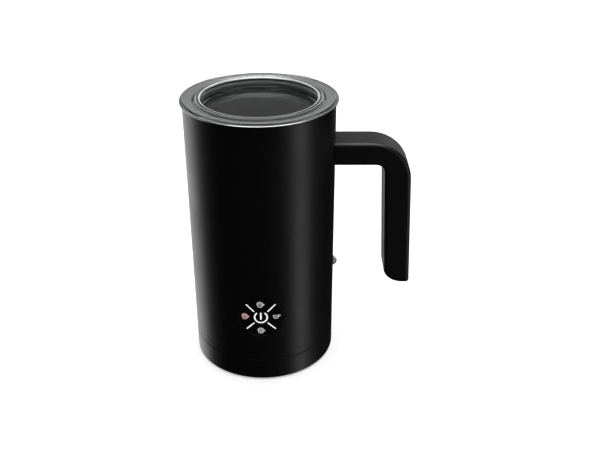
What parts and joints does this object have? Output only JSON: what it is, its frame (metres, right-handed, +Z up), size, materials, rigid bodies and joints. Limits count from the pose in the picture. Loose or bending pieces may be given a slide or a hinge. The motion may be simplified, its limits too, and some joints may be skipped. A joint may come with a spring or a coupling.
{
  "type": "electric milk frother",
  "caption": "Upright electric milk frother: a black cylindrical jug with a steel rim, a clear recessed lid, a hanging side handle, a round touch panel and a magnetically driven whisk.",
  "frame": {"origin": "the point on the body's axis where the foot pad stands on the table", "axes": "+Z up along the body's axis, +X towards the handle, -Y out of the touch panel"},
  "size_m": [0.1558, 0.1036, 0.192],
  "materials": {
    "body_black": "satin black",
    "plastic_black": "fine matt black",
    "lens_black": "gloss black",
    "rim_steel": "bright brushed steel",
    "plain_steel": "plain steel",
    "pot_coating": "aluminium with a dark grey non-stick coating",
    "lid_clear": "clear plastic",
    "silicone_clear": "translucent silicone",
    "rubber_black": "matt black rubber",
    "rubber_grey": "dark grey rubber",
    "frame_grey": "grey engineering plastic",
    "icon_white": "white light-spreading plastic",
    "board_green": "circuit board",
    "heater_aluminium": "cast aluminium",
    "magnet_nickel": "nickel-plated magnet",
    "lead_red": "red insulated wire"
  },
  "bodies": {
    "jug": {"foot_pad": "rubber_black", "base_cover": "body_black", "inner_frame": "frame_grey", "housing_shell": "body_black", "rim_ring": "rim_steel", "milk_pot": "pot_coating", "pot_gasket": "silicone_clear", "whisk_pin": "plain_steel", "heater_plate": "heater_aluminium", "heater_tube": "plain_steel", "thermal_cutout": "plastic_black", "temperature_sensor": "plain_steel", "drive_bracket": "frame_grey", "motor_case": "plain_steel", "motor_end_cap": "plastic_black", "power_board": "board_green", "board_transformer": "frame_grey", "board_relay": "plastic_black", "board_terminal_block": "board_green", "board_fuse": "plain_steel", "board_capacitor": "plastic_black", "panel_lens": "lens_black", "light_guide": "icon_white", "control_board": "board_green", "panel_carrier": "frame_grey", "handle_shell": "plastic_black", "handle_cover": "plastic_black", "lead_gland": "rubber_grey", "motor_lead_1": "lead_red", "motor_lead_2": "lead_red", "heater_lead_1": "lead_red", "heater_lead_2": "lead_red", "base_screw_1": "plain_steel", "base_screw_2": "plain_steel", "base_screw_3": "plain_steel", "bracket_screw_1": "plain_steel", "bracket_screw_2": "plain_steel", "bracket_screw_3": "plain_steel", "motor_screw_1": "plain_steel", "motor_screw_2": "plain_steel", "handle_screw_1": "plain_steel", "handle_screw_2": "plain_steel"},
    "lid": {"lid": "lid_clear", "lid_seal": "silicone_clear"},
    "whisk_bush": {"whisk_bush": "plain_steel"},
    "whisk": {"whisk_hub": "plastic_black", "whisk_magnet_1": "magnet_nickel", "whisk_magnet_2": "magnet_nickel", "whisk_wire": "plain_steel", "whisk_coil": "plain_steel"},
    "rotor": {"motor_shaft": "plain_steel", "drive_disc": "frame_grey", "drive_magnet_1": "magnet_nickel", "drive_magnet_2": "magnet_nickel"}
  },
  "joints": [
    {"name": "lid_lift", "type": "slide", "parent": "jug", "child": "lid", "axis": [0, 0, 1], "range_m": [0, 0.06]},
    {"name": "whisk_lift", "type": "slide", "parent": "jug", "child": "whisk_bush", "axis": [0, 0, 1], "range_m": [0, 0.06]},
    {"name": "motor_spin", "type": "hinge", "parent": "jug", "child": "rotor", "pos_m": [0, 0, 0.068], "axis": [0, 0, 1], "continuous": true},
    {"name": "whisk_spin", "type": "hinge", "parent": "whisk_bush", "child": "whisk", "pos_m": [0, 0, 0.079], "axis": [0, 0, 1], "continuous": true}
  ],
  "couplings": [
    {"joint": "whisk_spin", "follows": "motor_spin", "ratio": 1}
  ]
}
